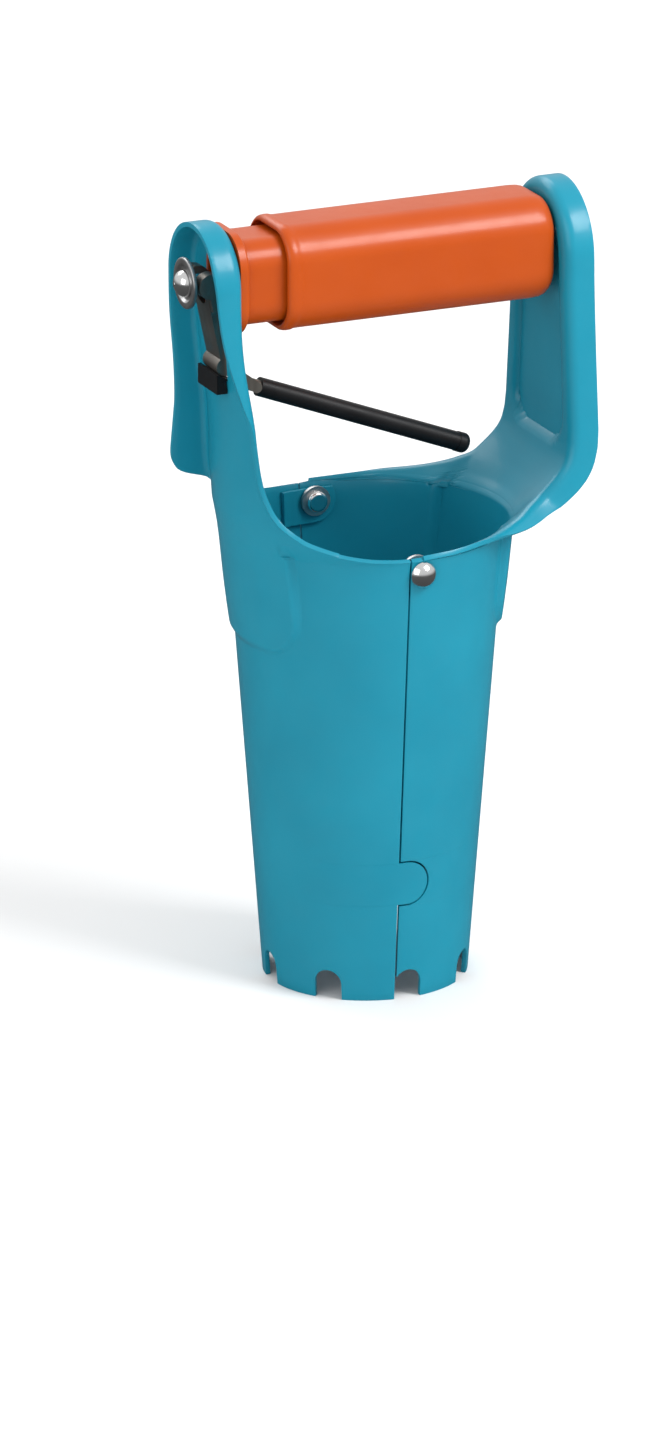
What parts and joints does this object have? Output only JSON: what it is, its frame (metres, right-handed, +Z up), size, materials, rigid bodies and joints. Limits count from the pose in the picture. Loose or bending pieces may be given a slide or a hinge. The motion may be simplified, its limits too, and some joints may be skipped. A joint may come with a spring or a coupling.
{
  "type": "bulb planter",
  "caption": "Hand bulb planter: a split, toothed steel barrel on two rivets, legs joined by a telescoping grip, and a squeeze lever that opens the barrel.",
  "frame": {"origin": "middle of the overall width and depth, on the plane of the cutting teeth", "axes": "+Z up along the barrel, +X from the lever's leg to the plain leg, Y along the hinge rivets"},
  "size_m": [0.1316, 0.0926, 0.25],
  "materials": {
    "painted_shell": "glossy powder coat",
    "grip_plastic": "satin gloss moulded",
    "bright_steel": "bright plated",
    "zinc_steel": "zinc plated",
    "lever_steel": "dull plated",
    "black_plastic": "moulded satin"
  },
  "bodies": {
    "left_half": {"left_shell": "painted_shell", "front_hinge_rivet": "bright_steel", "back_hinge_rivet": "bright_steel", "front_hinge_washer": "zinc_steel", "back_hinge_washer": "zinc_steel", "inner_sleeve": "grip_plastic", "left_spring_seat": "zinc_steel", "fulcrum_saddle": "black_plastic", "return_spring": "bright_steel"},
    "right_half": {"right_shell": "painted_shell", "tie_rod": "bright_steel", "rod_head": "bright_steel", "rod_head_washer": "zinc_steel", "rod_nut_washer": "zinc_steel", "rod_nut": "zinc_steel"},
    "grip": {"outer_grip": "grip_plastic", "right_spring_seat": "zinc_steel"},
    "trigger": {"trigger_lever": "lever_steel", "bar_sleeve": "black_plastic", "bar_cap": "black_plastic"}
  },
  "joints": [
    {"name": "shell_hinge", "type": "hinge", "parent": "left_half", "child": "right_half", "pos_m": [-0.00185, 0, 0.142], "axis": [0, -1, 0], "range_deg": [0, 5.7], "stiffness_Nm_per_rad": 15, "springref_deg": -5.16, "deforming": ["return_spring"]},
    {"name": "grip_swivel", "type": "hinge", "parent": "right_half", "child": "grip", "pos_m": [0.05565, 0, 0.2305], "axis": [0, -1, 0], "range_deg": [-1.7, 0]},
    {"name": "trigger_pivot", "type": "hinge", "parent": "left_half", "child": "trigger", "pos_m": [-0.0511, 0, 0.204], "axis": [0, -1, 0], "range_deg": [0, 20.9]}
  ],
  "couplings": [
    {"joint": "grip_swivel", "follows": "shell_hinge", "ratio": -0.295},
    {"joint": "trigger_pivot", "follows": "shell_hinge", "ratio": 3.65}
  ]
}
